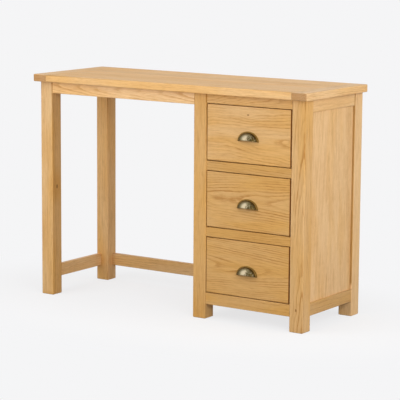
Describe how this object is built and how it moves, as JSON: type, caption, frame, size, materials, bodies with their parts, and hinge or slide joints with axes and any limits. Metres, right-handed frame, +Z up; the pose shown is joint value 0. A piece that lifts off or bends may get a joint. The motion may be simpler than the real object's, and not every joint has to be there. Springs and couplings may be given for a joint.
{
  "type": "dressing table",
  "caption": "Oak dressing table with breadboard ends, an open kneehole on the left and a pedestal of inset drawers with cup pulls on the right.",
  "frame": {"origin": "on the floor, under the middle of the top", "axes": "+X along the front towards the pedestal of drawers, -Y towards the person sitting at it, +Z up"},
  "size_m": [1.11, 0.395, 0.78],
  "materials": {
    "oak_top": "satin lacquered oak",
    "oak_leg": "satin lacquered oak",
    "oak_rail": "satin lacquered oak",
    "oak_front": "satin lacquered oak",
    "oak_panel": "satin lacquered oak",
    "oak_inside": "sanded oak",
    "pewter": "antique pewter, satin",
    "steel": "zinc plated"
  },
  "bodies": {
    "frame": {"apron_back": "oak_rail", "apron_front": "oak_rail", "apron_left": "oak_rail", "back_panel": "oak_panel", "back_rail_bottom": "oak_rail", "back_rail_top": "oak_rail", "drawer_bottom_runner_left": "oak_inside", "drawer_bottom_runner_right": "oak_inside", "drawer_middle_runner_left": "oak_inside", "drawer_middle_runner_right": "oak_inside", "drawer_top_runner_left": "oak_inside", "drawer_top_runner_right": "oak_inside", "front_rail_bottom": "oak_rail", "front_rail_lower": "oak_rail", "front_rail_top": "oak_rail", "front_rail_upper": "oak_rail", "kicker_left": "oak_inside", "kicker_right": "oak_inside", "leg_back_left": "oak_leg", "leg_front_left": "oak_leg", "pedestal_leg_back_left": "oak_leg", "pedestal_leg_back_right": "oak_leg", "pedestal_leg_front_left": "oak_leg", "pedestal_leg_front_right": "oak_leg", "side_panel_inner": "oak_panel", "side_panel_outer": "oak_panel", "side_rail_inner_bottom": "oak_rail", "side_rail_inner_top": "oak_rail", "side_rail_outer_bottom": "oak_rail", "side_rail_outer_top": "oak_rail", "stretcher_back": "oak_rail", "stretcher_left": "oak_rail", "top_end_left": "oak_top", "top_end_right": "oak_top", "top_field": "oak_top"},
    "drawer_top": {"drawer_top_back": "oak_inside", "drawer_top_base": "oak_inside", "drawer_top_front": "oak_front", "drawer_top_pull": "pewter", "drawer_top_screw_left": "steel", "drawer_top_screw_right": "steel", "drawer_top_side_left": "oak_inside", "drawer_top_side_right": "oak_inside"},
    "drawer_middle": {"drawer_middle_back": "oak_inside", "drawer_middle_base": "oak_inside", "drawer_middle_front": "oak_front", "drawer_middle_pull": "pewter", "drawer_middle_screw_left": "steel", "drawer_middle_screw_right": "steel", "drawer_middle_side_left": "oak_inside", "drawer_middle_side_right": "oak_inside"},
    "drawer_bottom": {"drawer_bottom_back": "oak_inside", "drawer_bottom_base": "oak_inside", "drawer_bottom_front": "oak_front", "drawer_bottom_pull": "pewter", "drawer_bottom_screw_left": "steel", "drawer_bottom_screw_right": "steel", "drawer_bottom_side_left": "oak_inside", "drawer_bottom_side_right": "oak_inside"}
  },
  "joints": [
    {"name": "drawer_top_slide", "type": "slide", "parent": "frame", "child": "drawer_top", "axis": [0, -1, 0], "range_m": [0, 0.26]},
    {"name": "drawer_middle_slide", "type": "slide", "parent": "frame", "child": "drawer_middle", "axis": [0, -1, 0], "range_m": [0, 0.26]},
    {"name": "drawer_bottom_slide", "type": "slide", "parent": "frame", "child": "drawer_bottom", "axis": [0, -1, 0], "range_m": [0, 0.26]}
  ]
}
